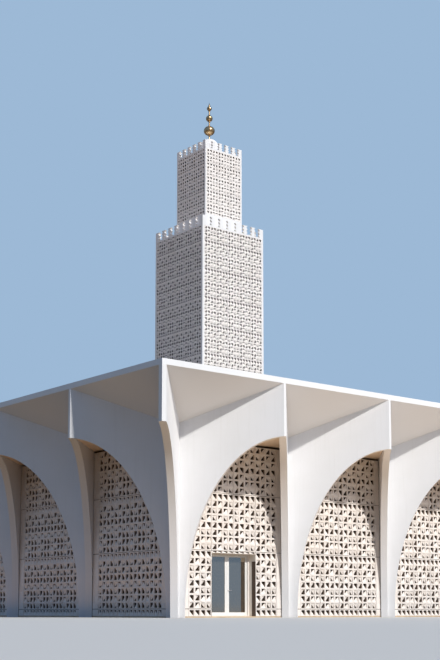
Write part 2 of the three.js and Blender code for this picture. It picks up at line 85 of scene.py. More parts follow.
# Signs of a rectangle's corners, counterclockwise from the lower left
CORNERS = np.array([(-1, -1), (1, -1), (1, 1), (-1, 1)])
# Plan directions along a side and into the building
ALONG_U = np.array([1.0, 0.0])
ALONG_V = np.array([0.0, 1.0])
# How far metal and glass stay clear of masonry, and the width of their fine chamfers
CLEARANCE = 0.002
FINE_CHAMFER = 0.001


class Body(Enum):
    """The bodies of the frame that a piece can ride on."""

    BUILDING = "building"
    LEFT_LEAF = "leaf_left"
    RIGHT_LEAF = "leaf_right"


class Slot(Enum):
    """The record's material slots."""

    RENDER = "white_render"
    SOFFIT = "soffit_render"
    BLOCK = "screen_block"
    FLOOR = "floor_concrete"
    ROOF = "roof_felt"
    PAINT = "door_paint"
    GLASS = "door_glass"
    STEEL = "handle_steel"
    GILT = "gilt_metal"


class Open(Enum):
    """The corner of a block that its triangular hole opens towards, as signs of right and up."""

    UR = (1, 1)
    UL = (-1, 1)
    LR = (1, -1)
    LL = (-1, -1)


# The repeat of the pierced blocks, four wide and eight high, from the bottom course up
MOTIF = tuple(
    tuple(Open[corner] for corner in course.split())
    for course in (
        "LR UL LL LL",
        "UR LR UL UL",
        "LR UL LL LL",
        "LR UR LR UR",
        "LL UL LL UL",
        "LL LR UL LR",
        "LR UL LR LL",
        "UR UR UR UR",
    )
)


# Surfaces as arrays


@dataclass
class Shell:
    """Corners and faces of one or more closed surfaces."""

    points: Points
    quads: Faces
    tris: Faces

    def welded(self) -> "Shell":
        """Joins corners that coincide; a quad with a repeated corner becomes a triangle.

        Returns:
            The same surface with each corner once.
        """
        keys = np.round(self.points * WELDS_PER_M).astype(np.int64)
        _, first, inverse = np.unique(keys, axis=0, return_index=True, return_inverse=True)
        inverse = inverse.reshape(-1)
        quads, tris = inverse[self.quads], inverse[self.tris]
        repeated = quads == np.roll(quads, -1, axis=1)
        count = repeated.sum(axis=1)
        narrowed = quads[count == 1]
        keep = np.arange(4)[None] != repeated[count == 1].argmax(axis=1)[:, None]
        tris = np.concatenate([tris, narrowed[keep].reshape(-1, 3)])
        pointed = (tris == np.roll(tris, -1, axis=1)).any(axis=1)
        return Shell(self.points[first], quads[count == 0], tris[~pointed])


def joined(shells: Iterable[Shell]) -> Shell:
    """Puts several shells into one.

    Args:
        shells: the shells, at least one.

    Returns:
        One shell that holds them all.
    """
    parts = list(shells)
    starts = np.cumsum([0] + [len(part.points) for part in parts[:-1]])
    return Shell(
        np.concatenate([part.points for part in parts]),
        np.concatenate([part.quads + start for part, start in zip(parts, starts)]),
        np.concatenate([part.tris + start for part, start in zip(parts, starts)]),
    )


def swept(rings: Points, closed: bool = False) -> Shell:
    """A profile carried along a path: ring i is joined to ring i + 1, corner by corner.

    Args:
        rings: the profile's corners at each station, as stations by corners by xyz.
        closed: whether the last ring joins the first; otherwise both ends are capped.

    Returns:
        The closed surface.
    """
    stations, corners = rings.shape[:2]
    index = np.arange(stations * corners).reshape(stations, corners)
    ahead = np.roll(index, -1, axis=0)
    if not closed:
        index, ahead = index[:-1], ahead[:-1]
    quads = np.stack([index, np.roll(index, -1, axis=1), np.roll(ahead, -1, axis=1), ahead], axis=-1)
    tris = np.empty((0, 3), np.int64)
    if not closed:
        last = (stations - 1) * corners
        rest = np.arange(1, corners - 1)
        fan = np.stack([np.zeros_like(rest), rest, rest + 1], axis=1)
        tris = np.concatenate([fan[:, ::-1], fan + last])
    return Shell(rings.reshape(-1, 3), quads.reshape(-1, 4), tris)


def inset(outline: Plan, distance: float) -> Plan:
    """A convex outline drawn inwards: each edge moves in by the distance and the corners stay mitred.

    Args:
        outline: plan corners, counterclockwise.
        distance: how far in.

    Returns:
        The moved corners.
    """
    edge = np.roll(outline, -1, axis=0) - outline
    edge /= np.linalg.norm(edge, axis=1, keepdims=True)
    normal = np.stack([-edge[:, 1], edge[:, 0]], axis=1)
    before = np.roll(normal, 1, axis=0)
    share = distance / (1 + (before * normal).sum(axis=1, keepdims=True))
    return outline + (before + normal) * share


def slab(outline: Plan, low: float, high: float, chamfer: float) -> Shell:
    """An upright prism whose rims at the top and bottom are chamfered.

    Args:
        outline: plan corners, counterclockwise.
        low: height of the underside.
        high: height of the top.
        chamfer: width of the chamfers.

    Returns:
        The closed prism, as four rings of its outline.
    """
    narrow = inset(outline, chamfer)
    plans = np.stack([narrow, outline, outline, narrow])
    heights = np.array([low, low + chamfer, high - chamfer, high])
    tall = np.broadcast_to(heights[:, None, None], plans.shape[:2] + (1,))
    return swept(np.concatenate([plans, tall], axis=2))


def box_plan(low: Sequence[float], high: Sequence[float]) -> Plan:
    """The four plan corners of a box, counterclockwise."""
    return np.array([low, (high[0], low[1]), high, (low[0], high[1])], float)


def slabs(spans: Iterable[Sequence[float]], front: float, back: float, top: float, chamfer: float) -> Shell:
    """A row of upright slabs between two depths.

    Args:
        spans: the left edge, the right edge and the foot of each.
        front: depth of their faces.
        back: depth of their backs.
        top: their height.
        chamfer: width of their chamfers.

    Returns:
        All the slabs.
    """
    return joined(slab(box_plan((left, front), (right, back)), foot, top, chamfer)
                  for left, right, foot in spans)


def crossing(p: Plan, d: Plan, q: Plan, e: Plan) -> Plan:
    """Where two plan lines cross, each given as a point and a direction."""
    share = ((q[0] - p[0]) * e[1] - (q[1] - p[1]) * e[0]) / (d[0] * e[1] - d[1] * e[0])
    return p + d * share


@dataclass(frozen=True)
class PlanFrame:
    """A plan frame in quarter turns: u runs along a face, seen from outside, and v runs inwards."""

    x: float
    y: float
    turns: int

    @property
    def axis(self) -> tuple[int, int]:
        """The direction of u."""
        return ((1, 0), (0, 1), (-1, 0), (0, -1))[self.turns]

    def inwards(self, points: Points) -> Points:
        """How far inside the face's line points of the building lie."""
        c, s = self.axis
        return (points[:, 1] - self.y) * c - (points[:, 0] - self.x) * s

    def place(self, shell: Shell) -> Shell:
        """Moves a shell from this frame to the building's.

        Args:
            shell: the shell with corners as u, v and height.

        Returns:
            The same shell in the building's frame.
        """
        c, s = self.axis
        u, v, z = shell.points.T
        points = np.stack([self.x + u * c - v * s, self.y + u * s + v * c, z], axis=1)
        return Shell(points, shell.quads, shell.tris)


@dataclass(frozen=True)
class Side:
    """One side of the hall: four bays between the corners, with plates that fold from valley to tip."""

    name: str
    plan: PlanFrame
    corner: str
    bay: float
    inset: float
    crown: float
    neighbour_crown: float

    @property
    def half(self) -> float:
        """Half a bay."""
        return self.bay / 2

    @property
    def slope(self) -> float:
        """How far a plate comes forward for each metre along the side."""
        return (self.inset + TIP_OVERSHOOT) / self.half

    @property
    def stretch(self) -> float:
        """Length along a plate for each metre along the side."""
        return math.hypot(1, self.slope)

    def clear(self, v: float) -> float:
        """How far from a pier's middle its inner faces are at a depth, with the clearance."""
        return (self.inset + (PLATE + GAP) * self.stretch - v) / self.slope


FRONT_SIZES = (FRONT_BAY, SIDE_BAY / 2, FRONT_CROWN, SIDE_CROWN)
SIDE_SIZES = (SIDE_BAY, FRONT_BAY / 2, SIDE_CROWN, FRONT_CROWN)
SIDES = tuple(
    Side(name, PlanFrame(x * HALL_WIDTH / 2, y * HALL_LENGTH / 2, turns), corner, *sizes)
    for turns, (name, corner, sizes, (x, y)) in enumerate(zip(
        ("front", "right", "back", "left"), ("front_left", "front_right", "back_right", "back_left"),
        (FRONT_SIZES, SIDE_SIZES) * 2, CORNERS.tolist()))
)


# Finishes


def linear(hex_colour: str) -> tuple[float, float, float, float]:
    """Turns a colour from sRGB to linear light.

    Args:
        hex_colour: the sRGB colour, as # and six digits.

    Returns:
        Linear red, green and blue, and an alpha of 1.
    """
    values = np.array([int(hex_colour[i:i + 2], 16) for i in (1, 3, 5)]) / 255
    values = np.where(values <= 0.04045, values / 12.92, ((values + 0.055) / 1.055) ** 2.4)
    return (*values.tolist(), 1.0)


@dataclass(frozen=True)
class Wiring:
    """The nodes of one material or world, and the object's own coordinates that drive them."""

    tree: bpy.types.NodeTree
    shader: bpy.types.Node
    place: Socket | None = None

    def feed(self, node: bpy.types.Node, inputs: dict[Any, Any]) -> None:
        """Gives a node's inputs their values.

        Args:
            node: the node.
            inputs: input name or number to a value, or to the output socket that feeds it.
        """
        for key, value in inputs.items():
            if isinstance(value, Socket):
                self.tree.links.new(value, node.inputs[key])
            else:
                node.inputs[key].default_value = value

    def add(self, kind: str, inputs: dict[Any, Any], **settings: Any) -> bpy.types.Node:
        """Adds a node with its settings, values and links.

        Args:
            kind: the node's type.
            inputs: input name or number to a value, or to the output socket that feeds it.
            settings: attributes of the node.

        Returns:
            The new node.
        """
        made = self.tree.nodes.new(kind)
        for key, value in settings.items():
            setattr(made, key, value)
        self.feed(made, inputs)
        return made

    def noise(self, scale: float, detail: float, **inputs: Any) -> Socket:
        """Noise over the object, so many lumps to a metre."""
        return self.add("ShaderNodeTexNoise",
                        {"Vector": self.place, "Scale": scale, "Detail": detail} | inputs).outputs[0]

    def ramp(self, value: Any, span: tuple[float, float], to: tuple[float, float] = (0, 1)) -> Socket:
        """A value carried from one span to another, and held at its ends."""
        return self.add("ShaderNodeMapRange", {"Value": value, "From Min": span[0], "From Max": span[1],
                                               "To Min": to[0], "To Max": to[1]}).outputs[0]

    def blend(self, share: Any, *tones: Any) -> Socket:
        """A colour between two, by a share from 0 to 1; each is a hex colour or a socket."""
        first, second = (linear(tone) if isinstance(tone, str) else tone for tone in tones)
        return self.add("ShaderNodeMix", {0: share, 6: first, 7: second}, data_type="RGBA").outputs[2]

    def shade(self, colour: Socket, roughness: Any, **inputs: Any) -> None:
        """Gives the shader its colour and roughness, each a socket or a value, and other inputs by name."""
        self.feed(self.shader, {"Base Color": colour, "Roughness": roughness} | inputs)

    def grain(self, height: Socket, strength: float, distance: float, invert: bool = False) -> None:
        """Tilts the shading by a height of so many metres."""
        bump = self.add("ShaderNodeBump", {"Height": height, "Strength": strength, "Distance": distance},
                        invert=invert)
        self.feed(self.shader, {"Normal": bump.outputs[0]})


@dataclass(frozen=True)
class Finish:
    """A procedural finish; the kinds below say what the real material is, and what it gives the eye."""

    name: str
    slot: Slot

    def wire(self, on: Wiring) -> None:
        """Adds the nodes that drive the shader."""
        raise NotImplementedError

    def material(self) -> bpy.types.Material:
        """Makes the finish's material, once.

        Returns:
            The material.
        """
        known = bpy.data.materials.get(self.name)
        if known:
            return known
        made = bpy.data.materials.new(self.name)
        made.use_nodes = True
        nodes = made.node_tree.nodes
        place = nodes.new("ShaderNodeTexCoord").outputs["Object"]
        self.wire(Wiring(made.node_tree, nodes["Principled BSDF"], place))
        return made


@dataclass(frozen=True)
class PaintedConcrete(Finish):
    """Smooth concrete, rolled with masonry paint: soft clouds in the tone, faint rain streaks, fine grain;
    undersides get a painted warm bounce light.
    """

    tone: str
    cloud: str
    streak: str
    # The tone of faces that look down: painted warm bounce light
    painted_underside_bounce: str
    cloud_m: float = 1.7
    streak_mm: float = 110
    streak_length_m: float = 2.4
    # The roller's grain is 2 mm, and is drawn at 14 mm so that it can show
    grain_mm: float = 14
    streak_share: float = 0.2
    roughness: float = 0.82
    drift: float = 0.08

    def wire(self, on: Wiring) -> None:
        """Adds clouds, streaks, a painted warm bounce light on faces that look down, and the grain.

        Args:
            on: the material's nodes.
        """
        clouds = on.noise(1 / self.cloud_m, 5.0, Roughness=0.6)
        scale = (1000 / self.streak_mm, 1000 / self.streak_mm, 1 / self.streak_length_m)
        drawn_out = on.add("ShaderNodeMapping", {"Vector": on.place, "Scale": scale})
        runs = on.ramp(on.noise(1.0, 3.0, Vector=drawn_out.outputs[0]), (0.54, 0.78), (0, self.streak_share))
        toned = on.blend(on.ramp(clouds, (0.35, 0.7)), self.tone, self.cloud)
        # Faces that look down blend to the underside tone, which is painted warm bounce light
        facing = on.add("ShaderNodeSeparateXYZ", {0: on.add("ShaderNodeNewGeometry", {}).outputs["Normal"]})
        downward = on.ramp(facing.outputs["Z"], (-0.15, -0.75))
        on.shade(on.blend(downward, on.blend(runs, toned, self.streak), self.painted_underside_bounce),
                 on.ramp(clouds, (0, 1), (self.roughness - self.drift, self.roughness + self.drift)))
        on.grain(on.noise(1000 / self.grain_mm, 2.0), strength=0.25, distance=0.002)


@dataclass(frozen=True)
class CastBlock(Finish):
    """Precast concrete block, painted: each course a touch different, painted shade deep in the holes, sandy
    grain.
    """

    tone: str
    dusty: str
    course_mm: float
    # The dark colour deep in the holes, and the depths where it starts and is full: painted shade
    painted_shade: str
    painted_shade_from_mm: float
    painted_shade_full_mm: float
    tone_share: float = 0.3
    dust_share: float = 0.45
    dust_per_m: float = 1.1
    # Sand grains of 1 mm are drawn at 9 mm so that they can show
    sand_mm: float = 9
    roughness: float = 0.88

    def wire(self, on: Wiring) -> None:
        """Adds a tone for each block, dust, painted shade deep in the holes and the sandy grain.

        Args:
            on: the material's nodes.
        """
        course = (self.course_mm / 1000,) * 3
        cells = on.add("ShaderNodeVectorMath", {0: on.place, 1: course}, operation="SNAP")
        each = on.add("ShaderNodeTexWhiteNoise", {"Vector": cells.outputs[0]}, noise_dimensions="3D")
        toned = on.blend(on.ramp(each.outputs[0], (0, 1), (0, self.tone_share)), self.tone, self.dusty)
        dust = on.noise(self.dust_per_m, 6.0, Roughness=0.65)
        worn = on.ramp(dust, (0.48, 0.8), (0, self.dust_share))
        # Painted shade: corners deeper in a hole take more of the dark colour
        hole = on.add("ShaderNodeAttribute", {}, attribute_name=HOLE_DEPTH)
        deep = on.ramp(hole.outputs["Fac"], (self.painted_shade_from_mm / 1000, self.painted_shade_full_mm / 1000))
        on.shade(on.blend(deep, on.blend(worn, toned, self.dusty), self.painted_shade), self.roughness)
        on.grain(on.noise(1000 / self.sand_mm, 3.0), strength=0.35, distance=0.002)


@dataclass(frozen=True)
class TrowelledConcrete(Finish):
    """Steel-trowelled concrete: broad mottled arcs of light and dark, smooth with a low sheen."""

    tone: str
    dark: str
    arc_m: float = 0.8
    roughness: float = 0.55
    drift: float = 0.15

    def wire(self, on: Wiring) -> None:
        """Adds the mottling and its trace in the sheen.

        Args:
            on: the material's nodes.
        """
        broad = on.noise(1 / self.arc_m, 7.0, Distortion=0.9)
        on.shade(on.blend(on.ramp(broad, (0.3, 0.75)), self.tone, self.dark),
                 on.ramp(broad, (0, 1), (self.roughness - self.drift, self.roughness + self.drift)))


@dataclass(frozen=True)
class LooseGravel(Finish):
    """Washed gravel laid on roofing felt: rounded stones, each of its own grey, with dark joints."""

    tone: str
    dark: str
    # Stones of 20 mm are drawn at 60 mm so that they can show
    stone_mm: float = 60
    joint_share: float = 0.8
    roughness: float = 0.95

    def wire(self, on: Wiring) -> None:
        """Adds the stones as rounded cells.

        Args:
            on: the material's nodes.
        """
        stones = on.add("ShaderNodeTexVoronoi", {"Vector": on.place, "Scale": 1000 / self.stone_mm})
        grey = on.add("ShaderNodeSeparateColor", {0: stones.outputs["Color"]})
        toned = on.blend(grey.outputs[0], self.tone, self.dark)
        joints = on.ramp(stones.outputs["Distance"], (0.35, 0.75), (0, self.joint_share))
        on.shade(on.blend(joints, toned, self.dark), self.roughness)
        on.grain(stones.outputs["Distance"], strength=0.6, distance=0.02, invert=True)


@dataclass(frozen=True)
class Enamel(Finish):
    """Stoved enamel on metal: an even coat with a slight orange peel and a soft gloss."""

    tone: str
    worn: str
    cloud_m: float = 0.2
    worn_share: float = 0.5
    peel_mm: float = 6
    roughness: float = 0.38

    def wire(self, on: Wiring) -> None:
        """Adds the orange peel and a faint unevenness of the tone."""
        uneven = on.ramp(on.noise(1 / self.cloud_m, 4.0), (0.5, 0.85), (0, self.worn_share))
        on.shade(on.blend(uneven, self.tone, self.worn), self.roughness)
        on.grain(on.noise(1000 / self.peel_mm, 1.0), strength=0.08, distance=0.001)


@dataclass(frozen=True)
class TintedGlass(Finish):
    """Float glass with a tint: mirrors the surroundings, hides what is behind, a trace of dust."""

    tone: str
    dusty: str
    mirror: float
    dust_m: float = 0.7
    dust_share: float = 0.25
    roughness: float = 0.03
    drift: float = 0.06
    ior: float = 1.5

    def wire(self, on: Wiring) -> None:
        """Adds the tint and the film of dust that dulls the mirror.

        Args:
            on: the material's nodes.
        """
        film = on.noise(1 / self.dust_m, 5.0)
        on.shade(on.blend(on.ramp(film, (0.5, 0.9), (0, self.dust_share)), self.tone, self.dusty),
                 on.ramp(film, (0, 1), (self.roughness, self.roughness + self.drift)),
                 Metallic=self.mirror, IOR=self.ior)


@dataclass(frozen=True)
class WorkedMetal(Finish):
    """Bare metal, polished or satin: its own colour in every highlight, with soft smears in the gloss."""

    tone: str
    aged: str
    smear_mm: float
    roughness: float
    drift: tuple[float, float] = (-0.08, 0.12)

    def wire(self, on: Wiring) -> None:
        """Adds the ageing and the smears.

        Args:
            on: the material's nodes.
        """
        smears = on.noise(1000 / self.smear_mm, 5.0)
        low, high = (self.roughness + drift for drift in self.drift)
        on.shade(on.blend(on.ramp(smears, (0.42, 0.75)), self.tone, self.aged),
                 on.ramp(smears, (0, 1), (low, high)), Metallic=1.0)


# The fourth colour of each painted concrete is painted warm bounce light on its undersides
WHITE_PAINT = PaintedConcrete("painted_concrete_white", Slot.RENDER, "#E9E9EA", "#E5E5E5", "#D8D7D5",
                              "#E6DED4", streak_share=0.25)
SOFFIT_PAINT = PaintedConcrete("painted_concrete_soffit", Slot.SOFFIT, "#ECEDEE", "#E7E8E9", "#DADAD9",
                               "#E2E0DE")
# The ceiling's tan tones are painted warm bounce light from the ground
CEILING_PAINTED_BOUNCE = PaintedConcrete("painted_concrete_ceiling", Slot.SOFFIT, "#EAD9C4", "#E2CFB8", "#CDBBA4",
                                "#F0D8BC")
# The dark colours deep in the blocks' holes are painted shade
HALL_BLOCK = CastBlock("cast_block_hall", Slot.BLOCK, "#F8F1EA", "#DED1C3", course_mm=305, painted_shade="#86694A",
                       painted_shade_from_mm=8, painted_shade_full_mm=90)
MINARET_BLOCK = CastBlock("cast_block_minaret", Slot.BLOCK, "#F8F3EF", "#E8DED6", course_mm=250,
                          painted_shade="#17120D", painted_shade_from_mm=1, painted_shade_full_mm=12)
FLOOR_CONCRETE = TrowelledConcrete("trowelled_concrete", Slot.FLOOR, "#E0C8A8", "#C2AA8C")
ROOF_GRAVEL = LooseGravel("roof_gravel", Slot.ROOF, "#C2BDB2", "#77736B")
DOOR_ENAMEL = Enamel("white_enamel", Slot.PAINT, "#F1F0EC", "#E2DFD8")
FRAME_ENAMEL = Enamel("cream_enamel", Slot.PAINT, "#F6F0E8", "#EBE2D8")
BRONZE_ENAMEL = Enamel("bronze_enamel", Slot.PAINT, "#5A463A", "#4A392F", roughness=0.5)
DOOR_GLAZING = TintedGlass("coated_door_glass", Slot.GLASS, "#D9CEBA", "#CFC6B8", mirror=0.93)
# A matt dark sheet behind the pierced blocks: painted shade in place of the dark inside
PAINTED_SHADE_SHEET = TintedGlass("painted_shade_sheet", Slot.GLASS, "#3A3028", "#4A3E34", mirror=0.0, roughness=0.6,
                           ior=1.2)
SATIN_STEEL = WorkedMetal("satin_steel", Slot.STEEL, "#E6E6E6", "#D2D2D2", smear_mm=40, roughness=0.5)
GILT_COPPER = WorkedMetal("gilt_copper", Slot.GILT, "#ECC894", "#A27A52", smear_mm=170, roughness=0.3)


# Pieces


def read(items: Any, name: str, width: int) -> Points:
    """Reads one property of all of a mesh's items.

    Args:
        items: the mesh's corners, edges or faces.
        name: the property.
        width: how many numbers each has.

    Returns:
        A row for each item.
    """
    values = np.empty(len(items) * width, np.float64)
    items.foreach_get(name, values)
    return values.reshape(-1, width)


def mark_holes(mesh: bpy.types.Mesh, depth_of: Callable[[Points], Points]) -> None:
    """Writes on each corner of a face how deep in a hole it lies, and 0 on faces that look outwards; it
    drives the painted shade in the holes.

    A face is the wall of a hole where a step along its normal changes the depth by less than half the step.

    Args:
        mesh: the mesh, whose normals point outwards.
        depth_of: the depth of points behind the face of the blocks.
    """
    step = 0.01
    centres = read(mesh.polygons, "center", 3)
    wall = np.abs(depth_of(centres + step * read(mesh.polygons, "normal", 3)) - depth_of(centres)) < step / 2
    corners = read(mesh.loops, "vertex_index", 1).astype(int).ravel()
    totals = read(mesh.polygons, "loop_total", 1).astype(int).ravel()
    depth = depth_of(read(mesh.vertices, "co", 3))[corners] * np.repeat(wall, totals)
    mesh.attributes.new(HOLE_DEPTH, "FLOAT", "CORNER").data.foreach_set("value", depth.astype(np.float32))


def piece(name: str, shell: Shell, finish: Finish, body: Body = Body.BUILDING, stands_for: Sequence[str] = (),
          smooth_degrees: float = 0.0, depth_of: Callable[[Points], Points] | None = None) -> None:
    """Makes a finished piece, sets its faces outwards, and joins it to the frame.

    Args:
        name: the piece's name.
        shell: its surface in the building's frame.
        finish: its finish.
        body: the body that it rides on.
        stands_for: the solids that it replaces.
        smooth_degrees: edges below this angle are shaded smooth; 0 keeps every face flat.
        depth_of: the depth of points behind the face of blocks, for the painted shade in their holes.
    """
    clean = shell.welded()
    corners = np.concatenate([clean.quads.reshape(-1), clean.tris.reshape(-1)])
    sizes = np.concatenate([np.full(len(clean.quads), 4), np.full(len(clean.tris), 3)])
    mesh = bpy.data.meshes.new(name)
    mesh.vertices.add(len(clean.points))
    mesh.vertices.foreach_set("co", clean.points.astype(np.float32).reshape(-1))
    mesh.loops.add(len(corners))
    mesh.loops.foreach_set("vertex_index", corners.astype(np.int32))
    mesh.polygons.add(len(sizes))
    mesh.polygons.foreach_set("loop_start", (np.cumsum(sizes) - sizes).astype(np.int32))
    mesh.polygons.foreach_set("loop_total", sizes.astype(np.int32))
    mesh.update(calc_edges=True)
    mesh.validate()
    turned = bmesh.new()
    turned.from_mesh(mesh)
    bmesh.ops.recalc_face_normals(turned, faces=turned.faces[:])
    turned.to_mesh(mesh)
    turned.free()
    mesh.shade_flat()
    if depth_of:
        mark_holes(mesh, depth_of)
    if smooth_degrees:
        mesh.shade_smooth()
        mesh.set_sharp_from_angle(angle=math.radians(smooth_degrees))
    mesh.materials.append(finish.material())
    made = bpy.data.objects.new(name, mesh)
    bpy.context.scene.collection.objects.link(made)
    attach(made, body.value)
    if stands_for:
        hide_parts(*stands_for)
    log.info("%s: %d faces", name, len(sizes))


@dataclass(frozen=True)
class ArchedPlate:
    """A wall plate that stands on a pier and reaches out over a quarter arch to a tip."""

    valley: tuple[float, float]
    tip: tuple[float, float]
    crown: float

    @property
    def start(self) -> Plan:
        """The valley as a plan point."""
        return np.array(self.valley)

    @property
    def length(self) -> float:
        """Distance from the valley to the tip."""
        return math.dist(self.valley, self.tip)

    @property
    def along(self) -> Plan:
        """Plan direction from the valley to the tip."""
        return (np.array(self.tip) - self.start) / self.length

    @property
    def right(self) -> Plan:
        """Plan direction to the right of the run."""
        return np.array([self.along[1], -self.along[0]])

    def soffit(self, plan: Plan) -> NDArray[np.float64]:
        """Height of the arch over plan points: a quarter ellipse from the springing to the crown.

        Args:
            plan: plan points.

        Returns:
            Their heights, 0 over the pier.
        """
        run = (plan - self.start) @ self.along
        share = np.clip((self.length - run) / (self.length - PIER_ARM), 0, 1)
        arch = SPRINGING + (self.crown - SPRINGING) * np.sqrt(1 - share ** 2)
        return np.where(run < PIER_ARM - GAP / 2, 0.0, arch)

    def face(self, offset: Plan, stop: Plan) -> Plan:
        """One face of the plate: the pier's upright, then equal angles of the arch up to where the face ends.

        Args:
            offset: from the plate's line to the face.
            stop: where the face ends.

        Returns:
            Its plan points.
        """
        angles = np.linspace(0, np.pi / 2, ARCH_STEPS + 1)
        arch = self.length - (self.length - PIER_ARM) * np.cos(angles)
        limit = (stop - self.start - offset) @ self.along
        held = np.minimum(np.concatenate([[PIER_ARM - GAP], arch]), limit)
        return self.start + offset + held[:, None] * self.along

    def rings(self, first: Plan, second: Plan) -> Points:
        """Upright cross-sections between two faces, from the arch up to the roof.

        Args:
            first: plan points of one face.
            second: plan points of the other.

        Returns:
            Four corners at each station.
        """
        top = np.full(len(first), ROOF_UNDERSIDE - GAP)
        columns = ((first, self.soffit(first)), (first, top), (second, top), (second, self.soffit(second)))
        return np.stack([np.column_stack([plan, heights]) for plan, heights in columns], axis=1)

    def wing(self, inward: Plan, heart: Plan, edge: Plan, end: Plan) -> Points:
        """Cross-sections of a wall, from the pier's heart to where it meets the next pier.

        Args:
            inward: plan direction towards the hall.
            heart: where the plate's inner face starts.
            edge: direction of the roof edge, which runs through the corner.
            end: the point of the roof edge where the plate ends.

        Returns:
            Four corners at each station.
        """
        across = np.array([-edge[1], edge[0]])
        corner = np.zeros(2)
        outer_stop = crossing(self.start, self.along, corner, edge)
        inner_stop = crossing(self.start + inward * PLATE, self.along, end, across)
        outer = np.vstack([self.start, self.face(corner, outer_stop), end])
        inner = np.vstack([heart, self.face(inward * PLATE, inner_stop), inner_stop])
        return self.rings(outer, inner)

    def fin(self) -> Shell:
        """The diagonal fin: starts inside the wall and closes on the arris of the roof's corner.

        Returns:
            Its surface.
        """
        half = self.right * PLATE / 2
        edges = []
        for offset, edge in ((half, ALONG_V), (-half, ALONG_U)):
            stop = crossing(self.start + offset, self.along, np.zeros(2), edge)
            root = self.start + offset - self.along * PLATE / 2
            edges.append(np.vstack([root, self.face(offset, stop), np.zeros(2)]))
        return swept(self.rings(*edges))


@dataclass(frozen=True)
class Arcade:
    """The piers of one side: the corner pier with its fin, and two between the bays."""

    side: Side
    smooth_degrees: float = 25

    def inner_pier(self, index: int) -> Shell:
        """A pier between two bays: one sweep from tip to tip through the valley.

        Args:
            index: 1 or 2 along the side.

        Returns:
            Its surface.
        """
        side = self.side
        plate = ArchedPlate((0.0, side.inset), (side.half, -TIP_OVERSHOOT), side.crown)
        heart = np.array([0.0, side.inset + PLATE * side.stretch])
        wing = plate.wing(-plate.right, heart, ALONG_U, np.array([side.half - GAP / 2, 0.0]))
        mirrored = wing * np.array([-1.0, 1.0, 1.0])
        shell = swept(np.concatenate([mirrored[:0:-1], wing]))
        shell.points[:, 0] += (index + 0.5) * side.bay
        return shell.welded()

    def corner_pier(self) -> Shell:
        """The pier at the corner: a wall between the first tips of two sides, and a fin to the roof's corner.

        Returns:
            Its surface.
        """
        side = self.side
        valley = (side.half, side.inset)
        right = ArchedPlate(valley, (side.bay, -TIP_OVERSHOOT), side.crown)
        left = ArchedPlate(valley, (-TIP_OVERSHOOT, 2 * side.inset), side.neighbour_crown)
        heart = crossing(right.start - right.right * PLATE, right.along,
                         left.start + left.right * PLATE, left.along)
        right_wing = right.wing(-right.right, heart, ALONG_U, np.array([side.bay - GAP / 2, 0.0]))
        left_wing = left.wing(left.right, heart, ALONG_V, np.array([0.0, 2 * side.inset - GAP / 2]))
        wall = swept(np.concatenate([left_wing[:0:-1], right_wing]))
        return joined([wall.welded(), ArchedPlate(valley, (0.0, 0.0), CORNER_CROWN).fin().welded()])

    def dress(self) -> None:
        """Makes the side's three piers."""
        shells = {f"corner_pier_{self.side.corner}": self.corner_pier()}
        shells |= {f"pier_{self.side.name}_{index}": self.inner_pier(index) for index in (1, 2)}
        for name, shell in shells.items():
            piece(f"{name}.smooth", self.side.plan.place(shell), WHITE_PAINT, stands_for=[name],
                  smooth_degrees=self.smooth_degrees)


@dataclass(frozen=True)
class Doorway:
    """Where the blocks make room for the door: columns, and rows, the last of them cut down to a lintel."""

    first: int = 4
    end: int = 12
    rows: int = 9
    lintel: float = 0.095


